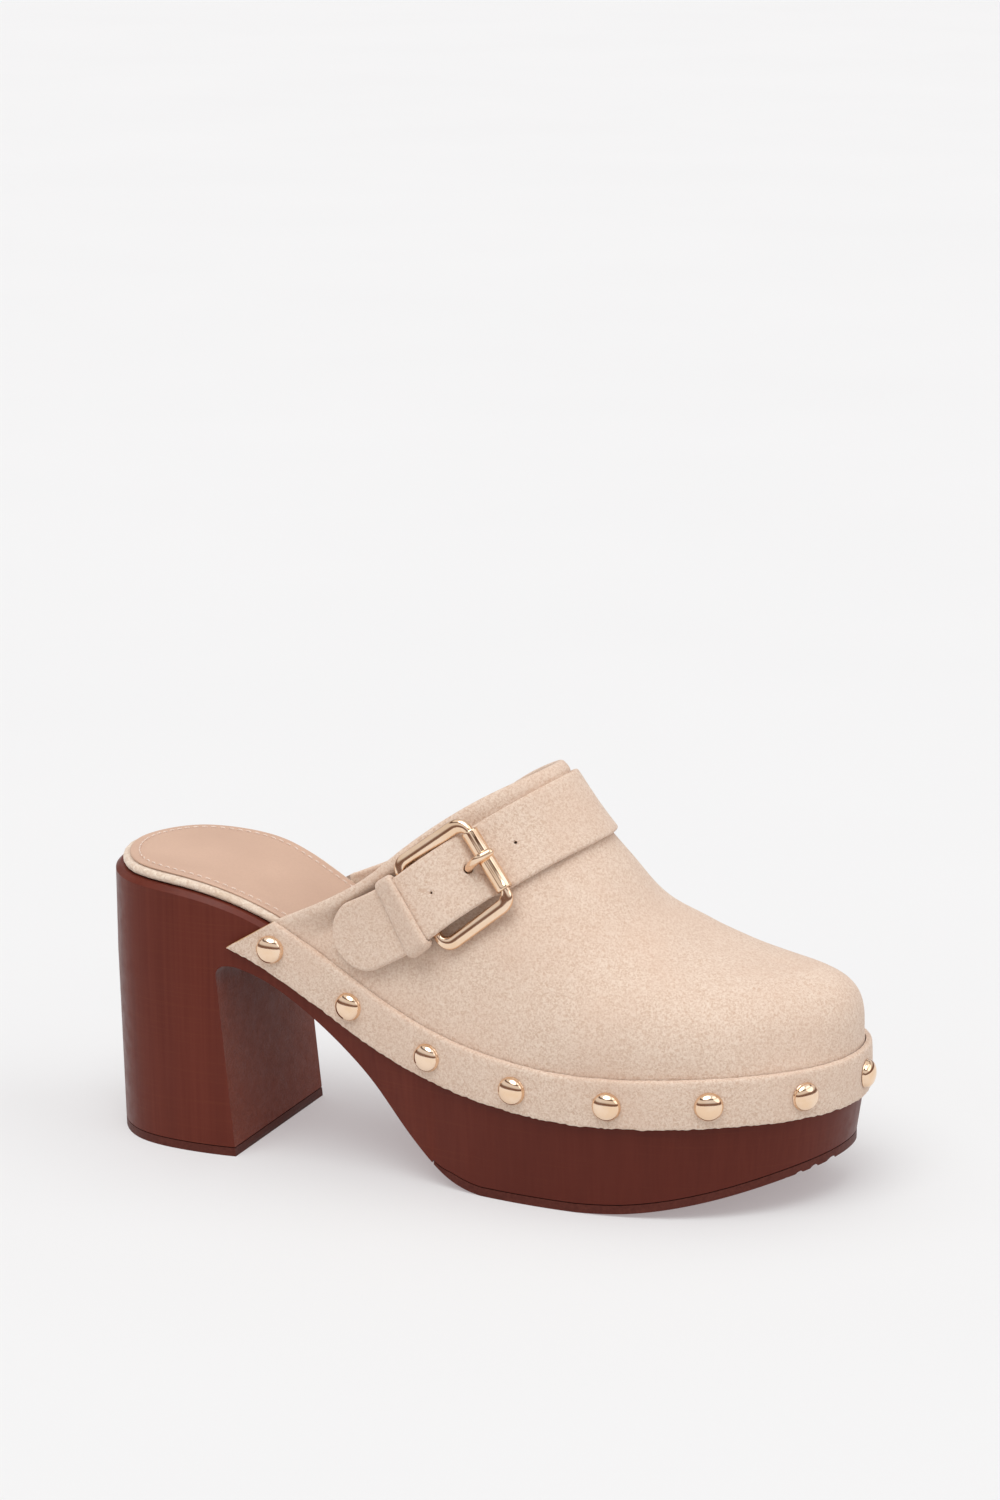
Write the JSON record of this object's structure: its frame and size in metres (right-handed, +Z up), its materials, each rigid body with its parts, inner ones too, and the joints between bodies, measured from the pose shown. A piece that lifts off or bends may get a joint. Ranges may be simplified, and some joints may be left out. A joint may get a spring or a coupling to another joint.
{
  "type": "platform clog mule",
  "caption": "Right platform clog mule with a block heel, hollow suede upper, studded rand and a buckled strap over the instep.",
  "frame": {"origin": "middle of the heel's floor face", "axes": "+X towards the toe, +Y towards the inner side of the foot, +Z up"},
  "size_m": [0.2452, 0.0975, 0.1277],
  "materials": {
    "faux_wood": "satin reddish-brown wood look with fine grain",
    "brown_rubber": "matt",
    "cream_felt": "fuzzy felt",
    "tan_lining": "smooth, satin",
    "sand_suede": "napped suede",
    "pale_gold": "polished pale rose gold"
  },
  "bodies": {
    "root": {"sole_unit": "faux_wood", "heel_top_piece": "brown_rubber", "forefoot_outsole": "brown_rubber", "insole_board": "cream_felt", "sock_lining": "tan_lining", "upper": "sand_suede", "rand_band": "sand_suede", "instep_strap": "sand_suede", "strap_keeper": "sand_suede", "buckle_frame": "pale_gold", "buckle_roller": "pale_gold", "buckle_prong": "pale_gold", "stud_01": "pale_gold", "stud_02": "pale_gold", "stud_03": "pale_gold", "stud_04": "pale_gold", "stud_05": "pale_gold", "stud_06": "pale_gold", "stud_07": "pale_gold", "stud_08": "pale_gold", "stud_09": "pale_gold", "stud_10": "pale_gold", "stud_11": "pale_gold", "stud_12": "pale_gold", "stud_13": "pale_gold", "stud_14": "pale_gold", "stud_15": "pale_gold"}
  },
  "joints": []
}
